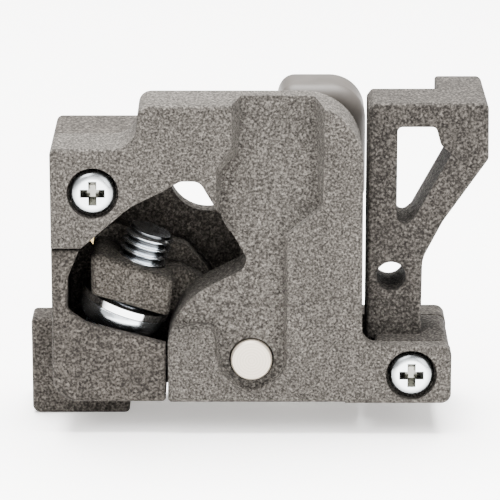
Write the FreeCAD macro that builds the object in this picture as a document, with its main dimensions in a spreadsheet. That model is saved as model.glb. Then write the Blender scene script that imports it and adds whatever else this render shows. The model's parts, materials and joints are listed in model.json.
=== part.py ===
"""Geared extruder with a tensioned idler: two gears draw a filament down between them.

Frame: origin where the pivot pin's axis meets the rear mounting face; +X right, +Y to the rear,
+Z up.  "Depth" below is the distance forward of the rear face, so a piece at depth d has y = -d.
"""
import FreeCAD, Part
import Sketcher
import math
import os
import re
from FreeCAD import Placement, Rotation, Vector

doc = FreeCAD.newDocument("ExtruderGears")

# ---------------------------------------------------------------- driving dimensions, millimetres
SIZES = {
    # cover and housing, as depths forward of the rear face
    "front_depth": 17.2, "split_depth": 9.2, "flange_depth": 15.0, "corner_front": 16.9,
    "lip_back": 15.6, "rear_wall": 2.5, "blind_wall": 0.8,
    # outline of the cover and the housing
    "left_edge": -24.0, "right_edge": 13.3, "top_edge": 31.8, "bottom_edge": -5.1,
    "shoulder_top": 26.5, "flange_right": 24.1, "flange_top": 2.1, "seam_z": 14.2, "seam_x": -10.1,
    "seam_gap": 0.25, "corner_round": 7.0, "edge_round": 0.5,
    "cavity_left": -22.4, "cavity_right": 12.3, "cavity_top": 24.6, "cavity_floor": -4.3,
    # relief in the cover's front face
    "upper_relief": 6.5, "upper_tilt": 14.4, "upper_start": 26.75, "upper_slope": 12.0,
    "lower_relief": 1.5, "lower_slope": 14.0,
    # screws
    "screw_radius": 1.5, "screw_clear": 1.7, "screw_head_radius": 2.8, "screw_head_height": 1.55,
    "counterbore_radius": 3.1, "counterbore_depth": 1.5, "screw_length": 15.0,
    "left_screw_x": -18.9, "left_screw_z": 21.1, "hinge_x": 19.3, "hinge_z": -1.6,
    "insert_radius": 2.1, "mount_left": -18.0, "mount_right": 9.0, "mount_z": 12.0,
    # drive pair
    "filament_x": 5.2, "filament_depth": 4.1, "gear_z": 20.5, "pitch_radius": 3.25,
    "gear_tip": 3.68, "gear_root": 2.7, "gear_back": 2.9, "gear_mid": 5.3, "gear_front": 6.9,
    "shaft_radius": 1.5, "bearing_radius": 3.0, "bearing_width": 2.5, "cap_depth": 6.5,
    "cap_seat": 0.5, "cap_left": 3.3, "cap_right": 14.1,
    "cap_bottom": 15.0, "cap_top": 30.2, "cap_round": 1.8,
    "shaft_tail": 12.0, "shaft_groove": 6.9, "drive_x": 8.45, "idler_x": 1.95,
    # rocker
    "pin_radius": 2.5, "pin_bore": 2.56, "pin_gap": 2.7, "pin_front": 16.4, "hub_radius": 3.5,
    "arm_back": 7.1, "arm_front": 8.9, "boss_front": 14.2, "boss_wall": 5.9, "screw_depth": 9.2,
    "thread_radius": 3.0, "idler_pin_radius": 1.25, "idler_pin_bore": 1.3, "idler_bush_radius": 1.9,
    # round port in the rear wall, and filament guides
    "port_x": -5.4, "port_z": 19.8, "port_radius": 4.8, "filament_bore": 1.0, "liner_radius": 1.5,
    "guide_radius": 2.0, "liner_top": 16.5,
    # lever
    "lever_edge": 14.0, "lever_front": 12.2, "lever_back": 4.4,
    "pad_depth": 14.6, "hub_back": 4.4, "hub_front": 14.8,
    "bush_radius": 2.3, "bush_bore": 1.56, "lever_hole_x": 16.9, "lever_hole_z": 9.4,
    "lever_hole_radius": 1.8,
    # base bracket
    "bracket_left": -27.0, "bracket_right": -15.0, "bracket_bottom": -9.1, "bracket_top": 3.1,
    "bracket_back": 4.5,
}
SCREW_TILT = 20.0        # the tension screw leans this far, degrees
SCREW_FOOT = (-15.2, 6.0)  # where its axis leaves the underside of the boss, x and z
TEETH = 13
BALLS = 7

sheet = doc.addObject("Spreadsheet::Sheet", "Dimensions")
for row, (alias, size) in enumerate(SIZES.items(), start=1):
    sheet.set(f"A{row}", alias.replace("_", " "))
    sheet.set(f"B{row}", str(size))
    sheet.setAlias(f"B{row}", alias)
doc.recompute()


class Dim:
    """Driving dimensions by name, for the outlines that are drawn in code."""


d = Dim()
d.__dict__.update(SIZES)
FORWARD = Rotation(Vector(1, 0, 0), 90)
parts = {}


def formula(text):
    """An expression in which every alias is looked up in the sheet."""
    return re.sub(r"[a-z]\w*", lambda word: "Dimensions." + word.group(0), str(text))


def bind(thing, **formulas):
    for prop, text in formulas.items():
        thing.setExpression(prop.replace("__", "."), formula(text))


# ---------------------------------------------------------------- Part primitives and booleans
def rod(name, x, z, start, length, radius, radius_to=None):
    """A cylinder, or a cone, along -Y that starts at depth `start`."""
    kind = "Part::Cylinder" if radius_to is None else "Part::Cone"
    thing = doc.addObject(kind, name)
    thing.Placement = Placement(Vector(), FORWARD)
    if radius_to is None:
        bind(thing, Radius=radius)
    else:
        bind(thing, Radius1=radius, Radius2=radius_to)
    bind(thing, Height=length, Placement__Base__x=x, Placement__Base__z=z,
         Placement__Base__y=f"-({start})")
    return thing


def pole(name, x, z, depth, length, radius):
    """A cylinder along +Z."""
    thing = doc.addObject("Part::Cylinder", name)
    bind(thing, Radius=radius, Height=length, Placement__Base__x=x, Placement__Base__z=z,
         Placement__Base__y=f"-({depth})")
    return thing


def joined(name, things):
    thing = doc.addObject("Part::MultiFuse", name)
    thing.Shapes = things
    return thing


def cut(name, base, tools):
    tool = tools[0] if len(tools) == 1 else joined(name + "_tools", tools)
    thing = doc.addObject("Part::Cut", name)
    thing.Base = base
    thing.Tool = tool
    return thing


def group(name, things):
    """Identical separate pieces in one node."""
    thing = doc.addObject("Part::Compound", name)
    thing.Links = things
    return thing


def keep(name, thing):
    thing.Label = name
    parts[name] = thing
    return thing


# ---------------------------------------------------------------- PartDesign bodies
def new_body(name):
    return doc.addObject("PartDesign::Body", name + "_body")


def sketch_on(body, name, start, tilt=None):
    """A sketch in the XZ plane, moved forward to depth `start` and leaned back by `tilt`."""
    sketch = body.newObject("Sketcher::SketchObject", name)
    plane = next(f for f in body.Origin.OriginFeatures if f.Role == "XZ_Plane")
    sketch.AttachmentSupport = (plane, [""])
    sketch.MapMode = "FlatFace"
    if tilt is not None:
        sketch.AttachmentOffset = Placement(Vector(), Rotation(Vector(1, 0, 0), -d.__dict__[tilt]))
    sketch.setExpression("AttachmentOffset.Base.z", formula(start))
    return sketch


def outline(sketch, corners):
    """A closed outline from corners (x, z, radius), with a tangent arc at each radius over 0."""
    points = []
    count = len(corners)
    for i, (x, z, radius) in enumerate(corners):
        here = Vector(x, z, 0)
        if radius == 0:
            points.append((here, None, here))
            continue
        before = (Vector(*corners[i - 1][:2], 0) - here).normalize()
        after = (Vector(*corners[(i + 1) % count][:2], 0) - here).normalize()
        half = before.getAngle(after) / 2
        reach = radius / math.tan(half)
        middle = here + (before + after).normalize() * (radius / math.sin(half) - radius)
        points.append((here + before * reach, middle, here + after * reach))
    edges = []
    for i, (start, middle, end) in enumerate(points):
        if middle is not None:
            edges.append(Part.Arc(start, middle, end))
        following = points[(i + 1) % count][0]
        if end.distanceToPoint(following) > 1e-4:
            edges.append(Part.LineSegment(end, following))
    sketch.addGeometry(edges, False)
    sketch.detectMissingPointOnPointConstraints(1e-3)
    sketch.makeMissingPointOnPointCoincident()
    return sketch


def circle(sketch, x, z, radius):
    """A circle held by its centre's distances and its radius, all three from the sheet."""
    index = sketch.addGeometry(Part.Circle(Vector(d.__dict__.get(x, 0), d.__dict__.get(z, 0), 0),
                                           Vector(0, 0, 1), d.__dict__[radius]), False)
    sketch.addConstraint(Sketcher.Constraint("Radius", index, d.__dict__[radius]))
    sketch.setExpression(f"Constraints[{sketch.ConstraintCount - 1}]", formula(radius))
    for kind, place in (("DistanceX", x), ("DistanceY", z)):
        if place == 0:
            axis = -2 if kind == "DistanceX" else -1
            sketch.addConstraint(Sketcher.Constraint("PointOnObject", index, 3, axis))
            continue
        sketch.addConstraint(Sketcher.Constraint(kind, -1, 1, index, 3, d.__dict__[place]))
        sketch.setExpression(f"Constraints[{sketch.ConstraintCount - 1}]", formula(place))
    return sketch


def pad(body, name, start, length, draw):
    feature = body.newObject("PartDesign::Pad", name)
    feature.Profile = draw(sketch_on(body, name + "_sketch", start))
    bind(feature, Length=length)
    doc.recompute()
    return feature


def pocket(body, name, start, length, draw, slope=None, tilt=None):
    """Cuts towards the rear from depth `start`, and checks that material went."""
    before = body.Shape.Volume
    feature = body.newObject("PartDesign::Pocket", name)
    feature.Profile = draw(sketch_on(body, name + "_sketch", start, tilt))
    bind(feature, Length=length)
    if slope is not None:
        bind(feature, TaperAngle="-" + slope)
    doc.recompute()
    if not body.Shape.Volume < before - 1e-3:
        raise RuntimeError(name + " cut nothing")
    return feature


def polygon(corners):
    return lambda sketch: outline(sketch, corners)


def rounds(*circles):
    def draw(sketch):
        for one in circles:
            circle(sketch, *one)
        return sketch
    return draw


def round_front(body, name, radius):
    """Rounds every edge that lies in the body's foremost face."""
    front = body.Shape.BoundBox.YMin
    edges = [f"Edge{i}" for i, edge in enumerate(body.Shape.Edges, start=1)
             if edge.BoundBox.YMax - front < 1e-4]
    base = body.Tip
    feature = body.newObject("PartDesign::Fillet", name)
    feature.Base = (base, edges)
    bind(feature, Radius=radius)
    doc.recompute()
    return feature


# ================================================================ root: cover, housing, guides
def front_cover():
    """The cover: a thick plate with a window, a hinge ear and a stepped relief in its face."""
    body = new_body("front_cover")
    plate = [(d.left_edge, d.seam_z, 0), (d.left_edge, d.shoulder_top, 0.8),
             (-13.9, d.shoulder_top, 3.0), (-13.4, d.top_edge, 1.5),
             (d.right_edge, d.top_edge, d.corner_round), (d.right_edge, d.bottom_edge, 0),
             (d.seam_x, d.bottom_edge, 0.5), (d.seam_x, 2.3, 0),
             (-9.1, 6.8, 9.9), (-5.2, 9.15, 0), (0.0, 11.8, 1.6),
             (-6.2, 22.45, 1.4), (-8.5, 22.45, 1.4), (-10.6, 21.2, 1.2),
             (-14.5, 19.3, 8.0), (-20.4, d.seam_z, 0)]
    pad(body, "plate", "split_depth", "front_depth - split_depth", polygon(plate))
    round_front(body, "plate_edges", "edge_round")
    ear = [(d.right_edge - 2, 6.0, 0), (d.right_edge - 0.01, 6.0, 0), (d.right_edge, d.flange_top, 1.8),
           (d.flange_right, d.flange_top, 1.2), (d.flange_right, d.bottom_edge, 1.2),
           (d.right_edge - 2, d.bottom_edge, 0)]
    pad(body, "ear", "flange_depth", "front_depth - flange_depth", polygon(ear))
    upper = [(-2.5, d.top_edge + 6, 0), (-2.9, 28.5, 1.5), (-4.9, 26.1, 2.0), (-5.2, 20.0, 2.5),
             (-1.6, 15.8, 2.5), (3.5, 15.8, 2.5), (9.5, 20.6, 2.5), (8.8, d.top_edge + 6, 0)]
    pocket(body, "upper_relief_cut", "upper_start", "upper_relief", polygon(upper), "upper_slope",
           "upper_tilt")
    lower = [(-14.0, 4.2, 0), (-4.6, 4.2, 1.0), (-4.0, -1.0, 3.0), (-1.0, -4.0, 2.5),
             (1.0, -4.0, 2.5), (4.3, -1.0, 3.0), (4.3, 16.5, 1.5), (-5.0, 16.5, 1.5), (-14.0, 9.0, 0)]
    pocket(body, "lower_relief_cut", "front_depth", "lower_relief", polygon(lower), "lower_slope")
    pocket(body, "screw_holes", "front_depth", "front_depth",
           rounds(("left_screw_x", "left_screw_z", "screw_clear"),
                  ("hinge_x", "hinge_z", "screw_clear"), (0, 0, "pin_gap")))
    pocket(body, "counterbores", "front_depth", "counterbore_depth",
           rounds(("left_screw_x", "left_screw_z", "counterbore_radius"),
                  ("hinge_x", "hinge_z", "counterbore_radius")))
    pocket(body, "bearing_seat", "split_depth + bearing_width", "bearing_width + 1",
           rounds(("drive_x", "gear_z", "bearing_radius")))
    return keep("front_cover", body)


def rear_housing():
    """The housing: a tray behind the cover whose front left corner comes forward to the face."""
    body = new_body("rear_housing")
    tray = [(d.left_edge, d.shoulder_top, 0.8), (d.right_edge, d.shoulder_top, 4.0),
            (d.right_edge, d.bottom_edge, 0), (d.left_edge, d.bottom_edge, 3.0)]
    pad(body, "tray", "0", "split_depth", polygon(tray))
    right = d.seam_x - d.seam_gap
    top = d.seam_z - d.seam_gap
    corner = [(d.left_edge, top, 0), (-20.6, top, 0), (-22.0, 10.6, 2.0), (-22.2, 6.4, 1.5),
              (-19.8, 4.7, 3.0), (right, 2.2, 0), (right, d.bottom_edge, 0.5),
              (d.left_edge, d.bottom_edge, 3.0)]
    pad(body, "corner", "split_depth - 1", "corner_front - split_depth + 1", polygon(corner))
    round_front(body, "corner_edges", "edge_round")
    ear = [(d.right_edge - 1, d.flange_top, 0), (d.flange_right, d.flange_top, 1.2),
           (d.flange_right, d.bottom_edge, 1.2), (d.right_edge - 1, d.bottom_edge, 0)]
    pad(body, "ear", "0", "hub_back - 0.3", polygon(ear))
    cavity = [(d.cavity_left, d.cavity_floor, 0.3), (d.cavity_right, d.cavity_floor, 1.0),
              (d.cavity_right, d.cavity_top, 3.0), (-13.5, d.cavity_top, 1.0), (-15.3, 19.0, 1.0),
              (d.cavity_left, 15.0, 0.5)]
    pocket(body, "cavity", "split_depth", "split_depth - rear_wall", polygon(cavity))
    spring_room = [(d.cavity_left, d.cavity_floor, 0.3), (-11.6, d.cavity_floor, 0.3),
                   (-11.6, -1.5, 0), (-10.0, -1.5, 0), (-10.0, 8.0, 0), (d.cavity_left, 15.0, 0)]
    pocket(body, "spring_room", "lip_back", "lip_back - split_depth + 0.5", polygon(spring_room))
    seat = [(d.cap_left - 0.2, d.cap_bottom - 0.2, 1.0), (d.right_edge + 1, d.cap_bottom - 0.2, 0),
            (d.right_edge + 1, d.shoulder_top + 1, 0), (d.cap_left - 0.2, d.shoulder_top + 1, 0)]
    pocket(body, "cap_seat_cut", "cap_seat", "cap_seat + 1", polygon(seat))
    pocket(body, "port", "rear_wall + 0.1", "rear_wall + 1", rounds(("port_x", "port_z", "port_radius")))
    pocket(body, "bearing_bore", "rear_wall + 0.1", "rear_wall + 1",
           rounds(("drive_x", "gear_z", "bearing_radius")))
    pocket(body, "pin_hole", "rear_wall + 0.1", "rear_wall + 0.1 - blind_wall",
           rounds((0, 0, "pin_radius")))
    pocket(body, "insert_holes", "split_depth", "split_depth + 1",
           rounds(("left_screw_x", "left_screw_z", "insert_radius"),
                  ("hinge_x", "hinge_z", "insert_radius"), ("mount_left", "mount_z", "insert_radius"),
                  ("mount_right", "mount_z", "insert_radius")))
    liner_hole = pole("liner_hole", "filament_x", "bottom_edge - 1", "filament_depth", "3",
                      "liner_radius")
    guide_hole = pole("guide_hole", "filament_x", "cavity_top - 1", "filament_depth", "4",
                      "guide_radius")
    return keep("rear_housing", cut("rear_housing_bored", body, [liner_hole, guide_hole]))


def base_bracket():
    """An L-shaped foot that hugs the housing's lower left corner."""
    body = new_body("base_bracket")
    ell = [(d.bracket_left, d.bracket_top, 0.6), (d.bracket_left, d.bracket_bottom, 1.0),
           (d.bracket_right, d.bracket_bottom, 0.6), (d.bracket_right, d.bottom_edge, 0),
           (d.left_edge, d.bottom_edge, 0), (d.left_edge, d.bracket_top, 0)]
    pad(body, "ell", "bracket_back", "split_depth - bracket_back", polygon(ell))
    round_front(body, "ell_edges", "edge_round")
    foot = [(d.bracket_left, d.bracket_bottom, 1.0), (d.bracket_right, d.bracket_bottom, 0.6),
            (d.bracket_right, d.bottom_edge, 0), (d.bracket_left, d.bottom_edge, 0)]
    pad(body, "foot", "0", "bracket_back", polygon(foot))
    return keep("base_bracket", body)


def drive_cap():
    """A smooth moulded cap behind the housing that covers the drive shaft's rear bearing."""
    body = new_body("drive_cap")
    block = [(d.cap_left, d.cap_top - 1.8, 2.0), (d.cap_left + 0.9, d.cap_top, 2.0),
             (d.cap_right, d.cap_top, 4.4), (d.cap_right, d.cap_bottom, 2.0),
             (d.cap_left, d.cap_bottom, 2.0)]
    pad(body, "block", "-cap_depth", "cap_depth + cap_seat", polygon(block))
    round_front(body, "block_edges", "cap_round")
    pocket(body, "hollow", "cap_seat", "cap_depth + cap_seat - 1.5",
           rounds(("drive_x", "gear_z", "hub_radius")))
    pocket(body, "shaft_hole", "cap_seat", "cap_depth + cap_seat + 1",
           rounds(("drive_x", "gear_z", "guide_radius")))
    return keep("drive_cap", body)


def phillips(name, x, z, front):
    """Two crossed slots that narrow with depth, as one cutting tool."""
    arms = []
    for i, turn in enumerate((0, 90)):
        slot = doc.addObject("Part::Wedge", f"{name}_{i}")
        slot.Xmin, slot.Xmax, slot.Zmin, slot.Zmax = -1.5, 1.5, -0.5, 0.5
        slot.X2min, slot.X2max, slot.Z2min, slot.Z2max = -0.7, 0.7, -0.3, 0.3
        slot.Ymin, slot.Ymax = 0, 1.4
        slot.Placement = Placement(Vector(x, -front - 0.05, z), Rotation(Vector(0, 1, 0), turn))
        arms.append(slot)
    return joined(name, arms)


def cover_screws():
    """Two pan head screws: one holds the cover, the other is the lever's hinge."""
    screws = []
    for i, (x, z) in enumerate((("left_screw_x", "left_screw_z"), ("hinge_x", "hinge_z"))):
        seat = "front_depth - counterbore_depth"
        shank = rod(f"screw_shank_{i}", x, z, seat + " - screw_length", "screw_length", "screw_radius")
        head = rod(f"screw_head_{i}", x, z, seat, "screw_head_height", "screw_head_radius")
        blank = joined(f"screw_blank_{i}", [shank, head])
        doc.recompute()
        front = d.front_depth - d.counterbore_depth + d.screw_head_height
        rim = doc.addObject("Part::Fillet", f"screw_rounded_{i}")
        rim.Base = blank
        rim.Edges = [(n, 1.1, 1.1) for n, edge in enumerate(blank.Shape.Edges, start=1)
                     if edge.BoundBox.YMax + front < 1e-4]
        drive = phillips(f"screw_drive_{i}", getattr(d, x), getattr(d, z), front)
        screws.append(cut(f"screw_{i}", rim, [drive]))
    return keep("cover_screws", group("cover_screw_pair", screws))


def inserts():
    """Brass inserts for the two front screws and for the two screws of the rear mounting."""
    places = (("left_screw_x", "left_screw_z", "0", "split_depth"),
              ("hinge_x", "hinge_z", "0", "hub_back - 0.3"),
              ("mount_left", "mount_z", "0", "rear_wall"), ("mount_right", "mount_z", "0", "rear_wall"))
    for node, chosen in (("screw_inserts", places[:2]), ("mounting_inserts", places[2:])):
        sleeves = []
        for i, (x, z, start, length) in enumerate(chosen):
            outer = rod(f"{node}_outer_{i}", x, z, start, length, "insert_radius")
            inner = rod(f"{node}_inner_{i}", x, z, start + " - 1", length + " + 2", "screw_radius")
            sleeves.append(cut(f"{node}_{i}", outer, [inner]))
        keep(node, group(node + "_set", sleeves))


def filament_guides():
    """A brass inlet bush in the top wall, and a slippery liner from the gears to the outlet."""
    bush = pole("inlet_body", "filament_x", "cavity_top", "filament_depth",
                "shoulder_top - cavity_top", "guide_radius")
    bore = pole("inlet_bore", "filament_x", "cavity_top - 1", "filament_depth", "6", "filament_bore")
    mouth = doc.addObject("Part::Cone", "inlet_mouth")
    bind(mouth, Radius1="filament_bore", Radius2="guide_radius - 0.3", Height="0.7",
         Placement__Base__x="filament_x", Placement__Base__y="-filament_depth",
         Placement__Base__z="shoulder_top - 0.7")
    keep("inlet_guide", cut("inlet_guide_cut", bush, [bore, mouth]))
    tube = pole("liner_body", "filament_x", "bottom_edge", "filament_depth",
                "liner_top - bottom_edge", "liner_radius")
    hole = pole("liner_bore", "filament_x", "bottom_edge - 1", "filament_depth",
                "liner_top - bottom_edge + 2", "filament_bore")
    keep("outlet_liner", cut("outlet_liner_cut", tube, [hole]))


def pivot_pin():
    pin = rod("pivot_pin_rod", "0", "0", "blind_wall", "pin_front - blind_wall", "pin_radius")
    doc.recompute()
    rounded = doc.addObject("Part::Chamfer", "pivot_pin_chamfered")
    rounded.Base = pin
    rounded.Edges = [(n, 0.2, 0.2) for n, edge in enumerate(pin.Shape.Edges, start=1)
                     if edge.BoundBox.YLength < 1e-6]
    return keep("pivot_pin", rounded)


# ================================================================ drive: shaft, gear, bearings
def ball_bearings():
    """Front and rear ball bearings: outer ring, balls and inner ring are separate pieces."""
    for side, start in (("front", "split_depth"), ("rear", "0")):
        outer = rod(f"{side}_outer", "drive_x", "gear_z", start, "bearing_width", "bearing_radius")
        outer_bore = rod(f"{side}_outer_bore", "drive_x", "gear_z", start + " - 1",
                         "bearing_width + 2", "bearing_radius - 0.4")
        inner = rod(f"{side}_inner", "drive_x", "gear_z", start, "bearing_width",
                    "shaft_radius + 0.3")
        inner_bore = rod(f"{side}_inner_bore", "drive_x", "gear_z", start + " - 1",
                         "bearing_width + 2", "shaft_radius")
        keep(f"{side}_bearing_outer_ring", cut(f"{side}_outer_ring", outer, [outer_bore]))
        keep(f"{side}_bearing_inner_ring", cut(f"{side}_inner_ring", inner, [inner_bore]))
        balls = []
        middle = (d.split_depth if side == "front" else 0) + d.bearing_width / 2
        track = d.shaft_radius + 0.3 + (d.bearing_radius - d.shaft_radius - 0.7) / 2
        for i in range(BALLS):
            angle = 2 * math.pi * i / BALLS
            ball = doc.addObject("Part::Sphere", f"{side}_ball_{i}")
            bind(ball, Radius="(bearing_radius - shaft_radius - 0.7) / 2 - 0.03")
            ball.Placement.Base = Vector(d.drive_x + track * math.cos(angle), -middle,
                                         d.gear_z + track * math.sin(angle))
            balls.append(ball)
        keep(f"{side}_bearing_balls", group(f"{side}_ball_set", balls))


def tooth_angle(radius):
    """Half the angle that a tooth of an involute gear fills at a radius."""
    pressure = math.radians(20)
    base = d.pitch_radius * math.cos(pressure)
    here = math.acos(min(1.0, base / radius))

    def involute(angle):
        return math.tan(angle) - angle
    backlash = 0.06
    at_pitch = (math.pi / TEETH) / 2 - backlash / (2 * d.pitch_radius)
    return at_pitch + involute(pressure) - involute(here)


def gear(name, x, bore):
    """A spur gear in front of a grooved drum that grips the filament."""
    flank = [d.gear_root, 3.06, 3.25, 3.45, d.gear_tip]
    points = []
    for tooth in range(TEETH):
        centre = 2 * math.pi * tooth / TEETH
        left = [(r, centre - tooth_angle(max(r, 3.06))) for r in flank]
        right = [(r, centre + tooth_angle(max(r, 3.06))) for r in reversed(flank)]
        points += [Vector(r * math.cos(a), 0, r * math.sin(a)) for r, a in left + right]
    face = Part.Face(Part.makePolygon(points + points[:1]))
    teeth = face.extrude(Vector(0, -(d.gear_front - d.gear_mid), 0))
    teeth.translate(Vector(0, -d.gear_mid, 0))
    drum = Part.makeCylinder(d.pitch_radius - 0.1, d.gear_mid - d.gear_back,
                             Vector(0, -d.gear_back, 0), Vector(0, -1, 0))
    groove = Part.makeTorus(d.pitch_radius, d.filament_bore - 0.05, Vector(0, -d.filament_depth, 0),
                            Vector(0, 1, 0))
    hole = Part.makeCylinder(bore, d.gear_front, Vector(0, 0, 0), Vector(0, -1, 0))
    thing = doc.addObject("Part::Feature", name + "_solid")
    thing.Shape = drum.fuse(teeth).cut(groove).cut(hole)
    thing.Placement = Placement(Vector(x, 0, d.gear_z), Rotation())
    return keep(name, thing)


def drive_train():
    """The shaft, with a retaining groove behind the cap, its gear and a brass collar."""
    shaft = rod("shaft_bar", "drive_x", "gear_z", "-shaft_tail",
                "shaft_tail + split_depth + bearing_width", "shaft_radius")
    ring = rod("groove_ring", "drive_x", "gear_z", "-shaft_groove - 0.5", "0.5", "shaft_radius + 1")
    core = rod("groove_core", "drive_x", "gear_z", "-shaft_groove - 1", "2", "shaft_radius - 0.25")
    groove = cut("retaining_groove", ring, [core])
    keep("drive_shaft", cut("shaft_grooved", shaft, [groove]))
    gear("drive_gear", d.drive_x, d.shaft_radius)
    collar = rod("collar_body", "drive_x", "gear_z", "gear_front + 0.1", "1.6", "shaft_radius + 1")
    collar_bore = rod("collar_bore", "drive_x", "gear_z", "gear_front", "2", "shaft_radius")
    keep("shaft_collar", cut("collar_cut", collar, [collar_bore]))


# ================================================================ rocker with the idler
def rocker_arm():
    """A bell crank on the pivot pin: an idler arm upwards and a screw boss to the left."""
    body = new_body("rocker_arm")
    lean = math.tan(math.radians(SCREW_TILT))
    top_left = 10.9 + 6.0 * lean
    crank = [(-19.4, 6.0 + 4.2 * lean, 0.6), (-19.4, top_left, 1.0), (-9.4, 9.4, 1.0),
             (-10.0, 6.0 - 5.2 * lean + 0.55, 0.6)]
    pad(body, "boss", "gear_back", "boss_front - gear_back", polygon(crank))
    round_front(body, "boss_edges", "2 * edge_round")
    wall = [(-19.4, 7.6, 0), (-19.4, 12.4, 1.0), (-16.8, 14.4, 1.0), (-8.0, 11.6, 1.0),
            (-5.4, 8.6, 1.5), (-3.0, 3.5, 2.0), (-3.0, -1.5, 1.0), (-6.5, 0.8, 2.0), (-10.2, 4.4, 0)]
    pad(body, "wall", "gear_back", "boss_wall - gear_back", polygon(wall))
    web = [(-12.0, 5.1, 0), (-12.0, 9.8, 0), (-8.6, 9.6, 0.8), (-6.2, 8.2, 1.0), (-2.0, 3.5, 2.0),
           (-1.0, -2.9, 0.5), (-6.5, 0.8, 3.0), (-10.2, 4.4, 0)]
    pad(body, "web", "gear_back", "arm_front - gear_back", polygon(web))
    pad(body, "hub", "gear_back", "arm_front - gear_back", rounds((0, 0, "hub_radius")))
    arm = [(-2.8, 0.0, 0), (-1.0, 14.0, 8.0), (-0.9, 23.2, 2.6), (4.6, 23.2, 2.6), (4.4, 15.0, 6.0),
           (3.4, 0.0, 0)]
    pad(body, "arm", "arm_back", "arm_front - arm_back", polygon(arm))
    pocket(body, "pin_bore_cut", "arm_front + 0.1", "arm_front", rounds((0, 0, "pin_bore")))
    pocket(body, "idler_pin_hole", "arm_front + 0.1", "arm_front - arm_back + 1",
           rounds(("idler_x", "gear_z", "idler_pin_radius")))
    thread = along_screw("screw_bore", -1.0, 14.0, d.thread_radius + 0.06)
    return keep("rocker_arm", cut("rocker_bored", body, [thread]))


def along_screw(name, start, length, radius, radius_to=None):
    """A cylinder or cone on the tension screw's axis, from `start` millimetres above its foot."""
    lean = math.radians(SCREW_TILT)
    kind = "Part::Cylinder" if radius_to is None else "Part::Cone"
    thing = doc.addObject(kind, name)
    if radius_to is None:
        thing.Radius = radius
    else:
        thing.Radius1, thing.Radius2 = radius, radius_to
    thing.Height = length
    thing.Placement = Placement(Vector(SCREW_FOOT[0] + start * math.sin(lean), -d.screw_depth,
                                       SCREW_FOOT[1] + start * math.cos(lean)),
                                Rotation(Vector(0, 1, 0), SCREW_TILT))
    return thing


def idler():
    pin = rod("idler_pin_shank", "idler_x", "gear_z", "gear_back + 0.1",
              "arm_front - gear_back - 0.1", "idler_pin_radius")
    keep("idler_pin", pin)
    bush = rod("idler_bush_body", "idler_x", "gear_z", "gear_back", "gear_front - gear_back",
               "idler_bush_radius")
    bore = rod("idler_bush_bore", "idler_x", "gear_z", "0", "gear_front + 1", "idler_pin_bore")
    keep("idler_bush", cut("idler_bush_cut", bush, [bore]))
    gear("idler_gear", d.idler_x, d.idler_bush_radius)


# ================================================================ tension screw and spring
def tension_screw():
    """A screw through the boss whose domed head pushes the spring down."""
    pitch = 1.0
    shank = along_screw("shank", -1.0, 9.2, d.thread_radius)
    tip = along_screw("shank_tip", 8.2, 0.8, d.thread_radius, d.thread_radius - 0.7)
    rings = []
    for i in range(3):
        ring = along_screw(f"thread_root_{i}", 5.6 + pitch * i, 0.35, d.thread_radius + 1)
        core = along_screw(f"thread_core_{i}", 5.5 + pitch * i, 0.6, d.thread_radius - 0.45)
        rings.append(cut(f"thread_groove_{i}", ring, [core]))
    rim = along_screw("head_rim", -2.0, 1.05, 5.25)
    dome = along_screw("head_dome", -3.9, 1.9, 3.0, 5.25)
    blank = joined("screw_solid", [shank, tip, rim, dome])
    keep("tension_screw", cut("screw_threaded", blank, rings))
    plate = along_screw("washer_plate", -0.93, 0.85, 5.6)
    hole = along_screw("washer_hole", -2.0, 3.0, d.thread_radius)
    keep("head_washer", cut("head_washer_cut", plate, [hole]))
    keep("spring_plate", along_screw("spring_plate_disc", -4.7, 0.8, 3.8))


def tension_spring():
    """A round wire compression spring on the screw's axis, above a wedge-shaped seat."""
    radius, wire, turns, length = 2.9, 0.35, 4.0, 3.3
    helix = Part.makeHelix(length / turns, length, radius)
    profile = Part.Wire(Part.makeCircle(wire, Vector(radius, 0, 0), Vector(0, 1, 0)))
    coil = Part.Wire(helix.Edges).makePipeShell([profile], True, True)
    low = -4.7 - wire - 0.05 - length
    lean = math.radians(SCREW_TILT)
    foot = Vector(SCREW_FOOT[0] + low * math.sin(lean), -d.screw_depth,
                  SCREW_FOOT[1] + low * math.cos(lean))
    spring = doc.addObject("Part::Feature", "coil")
    spring.Shape = coil
    spring.Placement = Placement(foot, Rotation(Vector(0, 1, 0), SCREW_TILT))
    keep("tension_spring", spring)
    column = along_screw("seat_column", low - wire - 0.05 - 6.0, 6.0, 3.4)
    room = doc.addObject("Part::Box", "seat_room")
    bind(room, Length="12", Width="9", Height="8", Placement__Base__x="cavity_left + 0.9",
         Placement__Base__y="-screw_depth - 4.5", Placement__Base__z="cavity_floor")
    seat = doc.addObject("Part::MultiCommon", "seat_wedge")
    seat.Shapes = [column, room]
    keep("spring_seat", seat)


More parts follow.
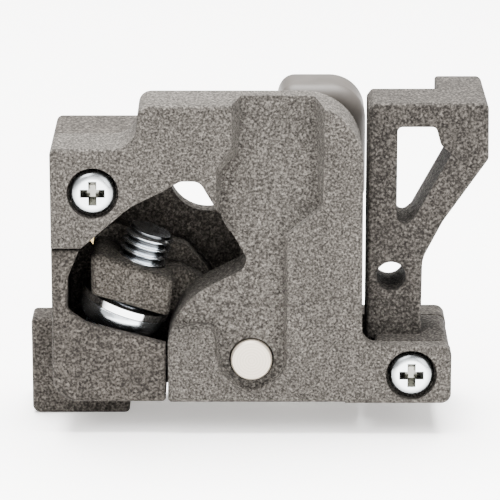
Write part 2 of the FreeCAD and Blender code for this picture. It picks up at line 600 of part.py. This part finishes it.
# ================================================================ release lever
def release_lever():
    """The lever: a triangulated web, a deep thumb pad at the top right and a hinge hub."""
    body = new_body("release_lever")
    web = [(d.lever_edge, 30.1, 0.6), (14.6, 30.9, 0.5), (28.4, 30.9, 0.8), (28.5, 24.0, 0.8),
           (23.1, 16.2, 3.0), (20.7, 11.5, 4.0), (20.6, 1.5, 0), (d.lever_edge, 1.5, 0)]
    pad(body, "web", "lever_back", "lever_front - lever_back", polygon(web))
    thumb = [(22.6, 30.9, 0.4), (28.4, 30.9, 0.8), (28.5, 24.0, 0.8), (25.9, 20.3, 1.0),
             (24.6, 24.4, 1.0), (22.6, 27.2, 0.4)]
    pad(body, "thumb_pad", "lever_front - pad_depth", "pad_depth", polygon(thumb))
    round_front(body, "web_edges", "edge_round")
    hub = [(15.0, 2.1, 0.6), (24.0, 2.1, 1.2), (24.0, -5.0, 1.5), (15.0, -5.0, 2.0)]
    pad(body, "hub", "hub_back", "hub_front - hub_back", polygon(hub))
    window = [(17.5, 28.0, 0.6), (22.1, 28.0, 0.6), (22.7, 25.8, 1.0), (24.0, 24.7, 0.6),
              (19.6, 16.6, 1.0), (18.4, 15.6, 0.8), (17.5, 16.6, 0.6)]
    pocket(body, "window", "lever_front", "pad_depth + 1", polygon(window))
    pocket(body, "eye", "lever_front", "lever_front - lever_back",
           rounds(("lever_hole_x", "lever_hole_z", "lever_hole_radius")))
    pocket(body, "bush_hole", "hub_front", "hub_front - hub_back",
           rounds(("hinge_x", "hinge_z", "bush_radius")))
    keep("release_lever", body)
    bush = rod("lever_bush_body", "hinge_x", "hinge_z", "hub_back", "hub_front - hub_back",
               "bush_radius")
    bore = rod("lever_bush_bore", "hinge_x", "hinge_z", "hub_back - 1", "hub_front - hub_back + 2",
               "bush_bore")
    keep("lever_bush", cut("lever_bush_cut", bush, [bore]))


for make in (front_cover, rear_housing, base_bracket, drive_cap, cover_screws, inserts,
             filament_guides, pivot_pin, ball_bearings, drive_train, rocker_arm, idler,
             tension_screw, tension_spring, release_lever):
    make()
doc.recompute()

for thing in doc.Objects:
    if {"Invalid", "Error"} & set(thing.State):
        raise RuntimeError(f"{thing.Name}: {thing.State}")
os.makedirs("parts", exist_ok=True)
for node, thing in parts.items():
    shape = thing.Shape
    if shape.isNull() or not shape.isValid() or not shape.Solids:
        raise RuntimeError(node + " is not a sound solid")
    shape.exportStep(f"parts/{node}.step")
    print(node, len(shape.Solids), round(shape.Volume, 2))
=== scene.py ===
"""Looks of the filament extruder: materials, turned and threaded details, camera and light."""
import bpy
import bmesh
import json
import math
from mathutils import Matrix, Vector


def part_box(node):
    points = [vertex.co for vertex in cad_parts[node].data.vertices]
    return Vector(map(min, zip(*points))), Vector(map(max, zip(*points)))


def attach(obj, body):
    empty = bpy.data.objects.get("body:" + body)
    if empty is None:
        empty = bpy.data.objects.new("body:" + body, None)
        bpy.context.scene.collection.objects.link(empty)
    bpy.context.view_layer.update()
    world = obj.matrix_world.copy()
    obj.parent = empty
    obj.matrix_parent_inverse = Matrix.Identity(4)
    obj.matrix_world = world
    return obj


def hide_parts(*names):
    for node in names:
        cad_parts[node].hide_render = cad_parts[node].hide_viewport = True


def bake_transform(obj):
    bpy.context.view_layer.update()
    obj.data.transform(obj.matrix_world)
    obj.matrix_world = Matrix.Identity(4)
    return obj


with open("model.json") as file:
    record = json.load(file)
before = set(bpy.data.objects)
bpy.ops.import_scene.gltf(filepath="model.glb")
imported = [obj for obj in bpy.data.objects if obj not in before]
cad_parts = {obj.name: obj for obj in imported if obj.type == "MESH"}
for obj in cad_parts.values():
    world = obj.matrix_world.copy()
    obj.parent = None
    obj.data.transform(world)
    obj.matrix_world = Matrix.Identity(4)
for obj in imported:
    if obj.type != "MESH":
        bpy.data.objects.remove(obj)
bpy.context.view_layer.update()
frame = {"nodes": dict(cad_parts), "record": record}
MM = 0.001

# ---------------------------------------------------------------- places worked out from the frame
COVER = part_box("front_cover")
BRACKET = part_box("base_bracket")
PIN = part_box("pivot_pin")
FRONT_Y = COVER[0].y
PIN_X = (PIN[0].x + PIN[1].x) / 2
PIN_Z = (PIN[0].z + PIN[1].z) / 2
FLOOR_Z = BRACKET[0].z

# tension screw: axis from the record's slide joint, foot at the place the CAD source gives it
SCREW_JOINT = next(j for j in frame["record"]["behaviour"]["joints"] if j["name"] == "screw_travel")
SCREW_AXIS = Vector(SCREW_JOINT["axis"]).normalized()
SCREW_FOOT = Vector((-15.2 * MM, -9.2 * MM, 6.0 * MM))
THREAD_RADIUS = 3.0 * MM
THREAD_PITCH = 1.0 * MM
THREAD_DEPTH = 0.5 * MM
SHANK_BOTTOM = -1.0 * MM
SHANK_TOP = 9.1 * MM
HEAD_RADIUS = 5.25 * MM

# the two pan head screws lie at opposite corners of their node's box
PAN_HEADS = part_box("cover_screws")
PAN_RADIUS = 2.8 * MM
RECESS_RADIUS = 1.6 * MM


# ================================================================ materials
def new_material(name):
    """An empty node material with its Principled shader, and helpers to wire it."""
    material = bpy.data.materials.new(name)
    material.use_nodes = True
    nodes, links = material.node_tree.nodes, material.node_tree.links
    return material, nodes, links, nodes["Principled BSDF"]


def texture(nodes, links, kind, coordinates, **settings):
    """A texture node on the given coordinates, with its inputs set by name."""
    node = nodes.new(kind)
    for key, value in settings.items():
        node.inputs[key.replace("_", " ")].default_value = value
    links.new(coordinates, node.inputs["Vector"])
    return node


def ramp(nodes, links, source, stops):
    """A colour ramp from (position, grey or colour) stops."""
    node = nodes.new("ShaderNodeValToRGB")
    elements = node.color_ramp.elements
    while len(elements) < len(stops):
        elements.new(0.5)
    for element, (position, colour) in zip(elements, stops):
        element.position = position
        if not hasattr(colour, "__len__"):
            colour = (colour,) * 3
        element.color = (*colour, 1.0)
    links.new(source, node.inputs["Fac"])
    return node


def mix(nodes, links, kind, factor, first, second):
    """The colour output of a Mix node, blending two colours with a fixed factor."""
    node = nodes.new("ShaderNodeMix")
    node.data_type = "RGBA"
    node.blend_type = kind
    node.inputs["Factor"].default_value = factor
    links.new(first, node.inputs[6])
    links.new(second, node.inputs[7])
    return node.outputs[2]


def bump(nodes, links, height, strength, distance, normal=None):
    """The normal output of a Bump node, stacked on another normal if one is given."""
    node = nodes.new("ShaderNodeBump")
    node.inputs["Strength"].default_value = strength
    node.inputs["Distance"].default_value = distance
    links.new(height, node.inputs["Height"])
    if normal is not None:
        links.new(normal, node.inputs["Normal"])
    return node.outputs["Normal"]


def sintered_nylon(name, dark, middle, light, grain_mm, relief_mm, layers=0.0):
    """Powder-sintered nylon: speckled grains, soft blotches, bright flecks added to the colour as
    painted glints and, if wanted, build layers.
    """
    material, nodes, links, shader = new_material(name)
    place = nodes.new("ShaderNodeTexCoord").outputs["Object"]
    grain = texture(nodes, links, "ShaderNodeTexNoise", place, Scale=1 / (grain_mm * MM),
                    Detail=3.0, Roughness=0.65)
    cells = texture(nodes, links, "ShaderNodeTexVoronoi", place, Scale=1.1 / (grain_mm * MM))
    blotch = texture(nodes, links, "ShaderNodeTexNoise", place, Scale=170.0, Detail=2.0)
    speckle = ramp(nodes, links, grain.outputs["Fac"],
                   [(0.33, dark), (0.5, middle), (0.69, light)])
    shade = ramp(nodes, links, blotch.outputs["Fac"], [(0.3, 0.86), (0.7, 1.1)])
    colour = mix(nodes, links, "MULTIPLY", 1.0, speckle.outputs["Color"], shade.outputs["Color"])
    # painted glints: bright flecks added to the base colour where the grains would catch the light
    painted_glints = ramp(nodes, links, cells.outputs["Color"], [(0.66, 0.0), (0.8, light)])
    colour = mix(nodes, links, "ADD", 0.45, colour, painted_glints.outputs["Color"])
    links.new(colour, shader.inputs["Base Color"])
    normal = bump(nodes, links, grain.outputs["Fac"], 0.85, relief_mm * MM)
    normal = bump(nodes, links, cells.outputs["Distance"], 0.35, relief_mm * 0.6 * MM, normal)
    if layers:
        stretch = nodes.new("ShaderNodeMapping")
        stretch.inputs["Scale"].default_value = (0.35, 0.35, 1.6)
        links.new(place, stretch.inputs["Vector"])
        ridge = texture(nodes, links, "ShaderNodeTexNoise", stretch.outputs["Vector"],
                        Scale=2200.0, Detail=1.0)
        normal = bump(nodes, links, ridge.outputs["Fac"], layers, relief_mm * MM, normal)
    links.new(normal, shader.inputs["Normal"])
    rough = ramp(nodes, links, grain.outputs["Fac"], [(0.3, 0.95), (0.75, 0.72)])
    links.new(rough.outputs["Color"], shader.inputs["Roughness"])
    shader.inputs["Specular IOR Level"].default_value = 0.12
    return material


def moulded_plastic(name, colour, roughness):
    """Smooth plastic with a faint uneven tone and a very fine surface."""
    material, nodes, links, shader = new_material(name)
    place = nodes.new("ShaderNodeTexCoord").outputs["Object"]
    fine = texture(nodes, links, "ShaderNodeTexNoise", place, Scale=2500.0, Detail=2.0)
    haze = texture(nodes, links, "ShaderNodeTexNoise", place, Scale=220.0, Detail=3.0)
    tone = ramp(nodes, links, haze.outputs["Fac"],
                [(0.3, tuple(c * 0.85 for c in colour)), (0.7, tuple(c * 1.2 for c in colour))])
    links.new(tone.outputs["Color"], shader.inputs["Base Color"])
    rough = ramp(nodes, links, haze.outputs["Fac"], [(0.3, roughness - 0.06), (0.7, roughness + 0.08)])
    links.new(rough.outputs["Color"], shader.inputs["Roughness"])
    links.new(bump(nodes, links, fine.outputs["Fac"], 0.25, 0.02 * MM), shader.inputs["Normal"])
    shader.inputs["Specular IOR Level"].default_value = 0.2
    return material


def metal(name, colour, roughness, tint=0.08, brush=(1.0, 1.0, 1.0), relief=0.15):
    """Bare or plated metal with a faint tint change, smears and brushed or turned scratches."""
    material, nodes, links, shader = new_material(name)
    place = nodes.new("ShaderNodeTexCoord").outputs["Object"]
    stretch = nodes.new("ShaderNodeMapping")
    stretch.inputs["Scale"].default_value = brush
    links.new(place, stretch.inputs["Vector"])
    scratch = texture(nodes, links, "ShaderNodeTexNoise", stretch.outputs["Vector"], Scale=3000.0,
                      Detail=4.0)
    smear = texture(nodes, links, "ShaderNodeTexNoise", place, Scale=350.0, Detail=3.0)
    tone = ramp(nodes, links, smear.outputs["Fac"],
                [(0.3, tuple(c * (1 - tint) for c in colour)), (0.7, colour)])
    links.new(tone.outputs["Color"], shader.inputs["Base Color"])
    rough = ramp(nodes, links, smear.outputs["Fac"], [(0.3, roughness * 0.7), (0.7, roughness * 1.4)])
    links.new(rough.outputs["Color"], shader.inputs["Roughness"])
    shader.inputs["Metallic"].default_value = 1.0
    links.new(bump(nodes, links, scratch.outputs["Fac"], relief, 0.01 * MM), shader.inputs["Normal"])
    return material


def calculate(nodes, links, kind, first, second):
    """A Math node of a socket and a number or another socket."""
    node = nodes.new("ShaderNodeMath")
    node.operation = kind
    links.new(first, node.inputs[0])
    if hasattr(second, "links"):
        links.new(second, node.inputs[1])
    else:
        node.inputs[1].default_value = second
    return node.outputs[0]


def vector(nodes, links, kind, source, constant, output="Vector"):
    """A Vector Math node of a socket and a constant vector."""
    node = nodes.new("ShaderNodeVectorMath")
    node.operation = kind
    links.new(source, node.inputs[0])
    node.inputs[1].default_value = constant
    return node.outputs[output]


def pan_heads(name):
    """Zinc heads: bright on the flat, with painted shade darkening the rolled rim and painted shade
    filling the recess.
    """
    material = metal(name, (0.74, 0.78, 0.8), 0.25)
    nodes, links = material.node_tree.nodes, material.node_tree.links
    shader = nodes["Principled BSDF"]
    plated = shader.inputs["Base Color"].links[0].from_socket
    place = nodes.new("ShaderNodeTexCoord").outputs["Object"]
    low, high = PAN_HEADS
    skin = 0.06 * MM
    flat = vector(nodes, links, "MULTIPLY", place, (1, 0, 1))
    left = vector(nodes, links, "DISTANCE", flat, (low.x + PAN_RADIUS, 0, high.z - PAN_RADIUS), "Value")
    right = vector(nodes, links, "DISTANCE", flat, (high.x - PAN_RADIUS, 0, low.z + PAN_RADIUS), "Value")
    away = calculate(nodes, links, "MINIMUM", left, right)
    ring = calculate(nodes, links, "DIVIDE", away, PAN_RADIUS)
    # painted shade: the rolled rim is darkened towards its outer edge
    rim_shade = ramp(nodes, links, ring, [(0.62, 1.0), (0.78, 0.42), (0.97, 0.1)])
    colour = mix(nodes, links, "MULTIPLY", 1.0, plated, rim_shade.outputs["Color"])
    depth = vector(nodes, links, "DOT_PRODUCT", place, (0, 1, 0), "Value")
    sunk = calculate(nodes, links, "GREATER_THAN", depth, low.y + skin)
    inside = calculate(nodes, links, "LESS_THAN", away, RECESS_RADIUS)
    recess = calculate(nodes, links, "MULTIPLY", sunk, inside)
    # painted shade: the sunk recess of each head is coloured dark grey
    recess_shade = nodes.new("ShaderNodeMix")
    recess_shade.data_type = "RGBA"
    links.new(recess, recess_shade.inputs["Factor"])
    links.new(colour, recess_shade.inputs[6])
    recess_shade.inputs[7].default_value = (0.2, 0.2, 0.18, 1)
    links.new(recess_shade.outputs[2], shader.inputs["Base Color"])
    return material


def threaded_steel(name):
    """Zinc plating with painted shade darkening the thread roots; the flat end is kept at half the
    plating's brightness.
    """
    material = metal(name, (0.74, 0.79, 0.84), 0.2)
    nodes, links = material.node_tree.nodes, material.node_tree.links
    shader = nodes["Principled BSDF"]
    plated = shader.inputs["Base Color"].links[0].from_socket
    place = nodes.new("ShaderNodeTexCoord").outputs["Object"]
    arm = vector(nodes, links, "SUBTRACT", place, SCREW_FOOT)
    across = nodes.new("ShaderNodeVectorMath")
    across.operation = "LENGTH"
    links.new(vector(nodes, links, "CROSS_PRODUCT", arm, SCREW_AXIS), across.inputs[0])
    radius = calculate(nodes, links, "DIVIDE", across.outputs["Value"], THREAD_RADIUS)
    # painted shade: darker in the thread roots, towards the screw's core
    root_shade = ramp(nodes, links, radius, [(0.84, 0.1), (0.95, 1.0)])
    height = vector(nodes, links, "DOT_PRODUCT", arm, SCREW_AXIS, "Value")
    lift = calculate(nodes, links, "DIVIDE", height, SHANK_TOP)
    # the flat end is held at half the plating's brightness
    end = ramp(nodes, links, lift, [(0.985, 0.0), (0.995, 0.5)])
    shade = mix(nodes, links, "LIGHTEN", 1.0, root_shade.outputs["Color"], end.outputs["Color"])
    colour = mix(nodes, links, "MULTIPLY", 1.0, plated, shade)
    links.new(colour, shader.inputs["Base Color"])
    return material


def turned_pin(name):
    """Satin steel whose end face shows fine concentric turning rings about the pin's axis."""
    material, nodes, links, shader = new_material(name)
    place = nodes.new("ShaderNodeTexCoord").outputs["Object"]
    centre = nodes.new("ShaderNodeMapping")
    centre.inputs["Location"].default_value = (-PIN_X, 0, -PIN_Z)
    links.new(place, centre.inputs["Vector"])
    rings = nodes.new("ShaderNodeTexWave")
    rings.wave_type, rings.rings_direction = "RINGS", "Y"
    rings.inputs["Scale"].default_value = 900.0
    rings.inputs["Distortion"].default_value = 0.6
    links.new(centre.outputs["Vector"], rings.inputs["Vector"])
    tone = ramp(nodes, links, rings.outputs["Fac"],
                [(0.2, (0.46, 0.405, 0.335)), (0.8, (0.53, 0.47, 0.395))])
    links.new(tone.outputs["Color"], shader.inputs["Base Color"])
    links.new(bump(nodes, links, rings.outputs["Fac"], 0.12, 0.01 * MM), shader.inputs["Normal"])
    shader.inputs["Metallic"].default_value = 0.9
    shader.inputs["Roughness"].default_value = 0.5
    return material


MATERIALS = {
    "cover_nylon": sintered_nylon("cover_nylon", (0.0103, 0.0089, 0.0078), (0.035, 0.0318, 0.028),
                                  (0.1, 0.092, 0.082), 0.26, 0.12),
    "housing_nylon": sintered_nylon("housing_nylon", (0.006, 0.005, 0.0042), (0.0215, 0.0188, 0.0162),
                                    (0.068, 0.061, 0.053), 0.29, 0.12, layers=0.5),
    "lever_nylon": sintered_nylon("lever_nylon", (0.006, 0.0051, 0.0044), (0.0205, 0.0183, 0.016),
                                  (0.068, 0.0615, 0.0545), 0.3, 0.15, layers=0.4),
    "black_plastic": moulded_plastic("black_plastic", (0.042, 0.037, 0.0325), 0.5),
    "rocker_nylon": sintered_nylon("rocker_nylon", (0.0082, 0.007, 0.0058), (0.028, 0.0248, 0.021),
                                   (0.082, 0.074, 0.064), 0.25, 0.12),
    "zinc_steel": metal("zinc_steel", (0.74, 0.79, 0.84), 0.22),
    "screw_heads": pan_heads("screw_heads"),
    "threaded_steel": threaded_steel("threaded_steel"),
    "chrome_steel": metal("chrome_steel", (0.86, 0.88, 0.9), 0.1, relief=0.05),
    "pin_steel": turned_pin("pin_steel"),
    "gear_steel": metal("gear_steel", (0.6, 0.58, 0.55), 0.3, brush=(1.0, 6.0, 1.0)),
    "brass": metal("brass", (0.8, 0.6, 0.28), 0.28, tint=0.2),
    "liner": moulded_plastic("liner", (0.75, 0.73, 0.66), 0.35),
}

SPECIAL = {
    "drive_gear": "gear_steel", "idler_gear": "gear_steel", "drive_shaft": "gear_steel",
    "idler_pin": "gear_steel",
    "cover_screws": "screw_heads", "rocker_arm": "rocker_nylon",
}


def dress_cad_nodes():
    """Every CAD node takes the material of its slot, or its own one from SPECIAL."""
    for entry in frame["record"]["subparts"]:
        node, slot = entry["node"], entry["material_slot"]
        piece = frame["nodes"][node]
        piece.data.materials.clear()
        piece.data.materials.append(MATERIALS[SPECIAL.get(node, slot)])


# ================================================================ detailed pieces
def mesh_piece(name, vertices, faces, material, body):
    """A smooth-shaded piece from a mesh; with body None it is attached to no body."""
    data = bpy.data.meshes.new(name)
    data.from_pydata(vertices, [], faces)
    data.validate()
    shape = bmesh.new()
    shape.from_mesh(data)
    bmesh.ops.remove_doubles(shape, verts=shape.verts, dist=1e-7)
    bmesh.ops.recalc_face_normals(shape, faces=shape.faces)
    shape.to_mesh(data)
    shape.free()
    for face in data.polygons:
        face.use_smooth = True
    data.materials.append(MATERIALS[material])
    piece = bpy.data.objects.new(name, data)
    bpy.context.collection.objects.link(piece)
    if body is not None:
        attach(piece, body)
    return piece


def along_screw_axis():
    """The matrix from a screw drawn upwards from the origin to the tension screw's place."""
    turn = Vector((0, 0, 1)).rotation_difference(SCREW_AXIS).to_matrix().to_4x4()
    return Matrix.Translation(SCREW_FOOT) @ turn


def threaded_screw():
    """The tension screw: a real helical thread, a flat end with a chamfer, and a domed head."""
    around, per_turn, dome_steps = 72, 14, 25
    end_inset, chamfer = 0.1 * MM, 0.55 * MM
    dome_inner, dome_bottom, dome_height = 3.0 * MM, -3.9 * MM, 1.9 * MM
    rim_bottom, rim_top, seat = -1.25 * MM, -1.05 * MM, -0.96 * MM
    rings = int((SHANK_TOP - SHANK_BOTTOM) / THREAD_PITCH * per_turn)
    place = along_screw_axis()
    vertices, faces = [], []

    def ring_of(height, radius_at):
        for k in range(around):
            angle = 2 * math.pi * k / around
            radius = radius_at(angle)
            vertices.append(place @ Vector((radius * math.cos(angle), radius * math.sin(angle), height)))

    def thread_radius(height, angle):
        turn = (height / THREAD_PITCH - angle / (2 * math.pi)) % 1.0
        crest = max(0.0, min(1.0, (abs(turn - 0.5) * 2 - 0.1) / 0.75))
        full = THREAD_RADIUS - THREAD_DEPTH * crest
        inset = THREAD_DEPTH + end_inset
        end = THREAD_RADIUS - inset + max(0.0, SHANK_TOP - height) * inset / chamfer
        return min(full, end)

    profile = []
    for step in range(dome_steps + 1):
        turn = math.pi / 2 * step / dome_steps
        profile.append((dome_inner + (HEAD_RADIUS - dome_inner) * math.sin(turn),
                        dome_bottom + dome_height * (1 - math.cos(turn))))
    profile += [(HEAD_RADIUS, rim_bottom), (HEAD_RADIUS - 0.1 * MM, rim_top),
                (HEAD_RADIUS - 0.3 * MM, seat), (THREAD_RADIUS, seat)]
    for radius, height in profile:
        ring_of(height, lambda angle, r=radius: r)
    for i in range(rings + 1):
        height = SHANK_BOTTOM + (SHANK_TOP - SHANK_BOTTOM) * i / rings
        ring_of(height, lambda angle, h=height: thread_radius(h, angle))
    total = len(profile) + rings + 1
    for i in range(total - 1):
        for k in range(around):
            a, b = i * around + k, i * around + (k + 1) % around
            faces.append((a, b, b + around, a + around))
    faces.append(tuple(range(around - 1, -1, -1)))
    faces.append(tuple((total - 1) * around + k for k in range(around)))
    piece = mesh_piece("threaded_tension_screw", vertices, faces, "threaded_steel", "tensioner")
    for face in piece.data.polygons:
        if len(face.vertices) > 4:
            face.use_smooth = False
    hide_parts("tension_screw")


def coil_spring():
    """The tension spring in two halves: housing to rocker, and rocker to screw."""
    radius, wire, turns = 2.9 * MM, 0.35 * MM, 4
    low, length = -8.4 * MM, 3.3 * MM
    per_turn, around = 40, 12
    place = along_screw_axis()
    for half, (first, second) in enumerate((("housing", "rocker"), ("rocker", "tensioner"))):
        start = half * turns // 2 * per_turn
        stop = start + turns // 2 * per_turn
        vertices, faces = [], []
        for step in range(start, stop + 1):
            angle = 2 * math.pi * step / per_turn
            height = low + length * step / (turns * per_turn)
            for k in range(around):
                side = 2 * math.pi * k / around
                reach = radius + wire * math.cos(side)
                vertices.append(place @ Vector((reach * math.cos(angle), reach * math.sin(angle),
                                                height + wire * math.sin(side))))
        for i in range(stop - start):
            for k in range(around):
                a, b = i * around + k, i * around + (k + 1) % around
                faces.append((a, a + around, b + around, b))
        faces.append(tuple(range(around)))
        faces.append(tuple((stop - start) * around + k for k in range(around - 1, -1, -1)))
        piece = mesh_piece(f"tension_spring_{first}_end", vertices, faces, "gear_steel", None)
        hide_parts("tension_spring")
        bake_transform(piece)


# ================================================================ floor, light and camera
def studio():
    """A pale floor under the object and an even, nearly white sky."""
    floor_data = bpy.data.meshes.new("floor")
    reach = 1.5
    floor_data.from_pydata([(-reach, -reach, FLOOR_Z), (reach, -reach, FLOOR_Z),
                            (reach, reach, FLOOR_Z), (-reach, reach, FLOOR_Z)], [], [(0, 1, 2, 3)])
    floor = bpy.data.objects.new("floor", floor_data)
    bpy.context.collection.objects.link(floor)
    material, _, _, shader = new_material("pale_floor")
    shader.inputs["Base Color"].default_value = (0.93, 0.92, 0.91, 1)
    shader.inputs["Roughness"].default_value = 0.6
    shader.inputs["Emission Color"].default_value = (1.0, 0.965, 0.93, 1)
    shader.inputs["Emission Strength"].default_value = 0.45
    floor_data.materials.append(material)
    world = bpy.data.worlds.new("studio")
    bpy.context.scene.world = world
    world.use_nodes = True
    sky = world.node_tree.nodes["Background"]
    sky.inputs["Color"].default_value = (1.0, 0.99, 0.98, 1)
    sky.inputs["Strength"].default_value = 1.0


def soft_light(name, place, size, power):
    """A square white area light at a place, aimed at the middle of the object."""
    aim = (0, 0, 0.015)
    data = bpy.data.lights.new(name, "AREA")
    data.shape, data.size, data.energy = "SQUARE", size, power
    light = bpy.data.objects.new(name, data)
    light.location = place
    light.rotation_euler = (Vector(aim) - Vector(place)).to_track_quat("-Z", "Y").to_euler()
    bpy.context.collection.objects.link(light)


def camera():
    """A long lens a little above the object, square to its front."""
    elevation, lens, sensor = math.radians(16.0), 240.0, 36.0
    view_width, shift_left, shift_up = 60.24 * MM, 0.18 * MM, 13.6 * MM
    forward = Vector((0, math.cos(elevation), -math.sin(elevation)))
    up = Vector((0, math.sin(elevation), math.cos(elevation)))
    target = Vector((PIN_X - shift_left, FRONT_Y, PIN_Z)) + up * shift_up
    data = bpy.data.cameras.new("camera")
    data.lens, data.sensor_width, data.clip_start = lens, sensor, 0.01
    eye = bpy.data.objects.new("camera", data)
    eye.location = target - forward * (view_width * lens / sensor)
    eye.rotation_euler = forward.to_track_quat("-Z", "Y").to_euler()
    bpy.context.collection.objects.link(eye)
    bpy.context.scene.camera = eye


dress_cad_nodes()
threaded_screw()
coil_spring()
studio()
soft_light("key", (-0.25, -0.35, 0.55), 0.4, 5.5)
soft_light("fill", (0.4, -0.45, 0.25), 0.4, 3.5)
soft_light("front", (0.0, -0.6, 0.16), 0.35, 0.8)
soft_light("top", (0.0, 0.1, 0.6), 0.5, 36.0)
camera()
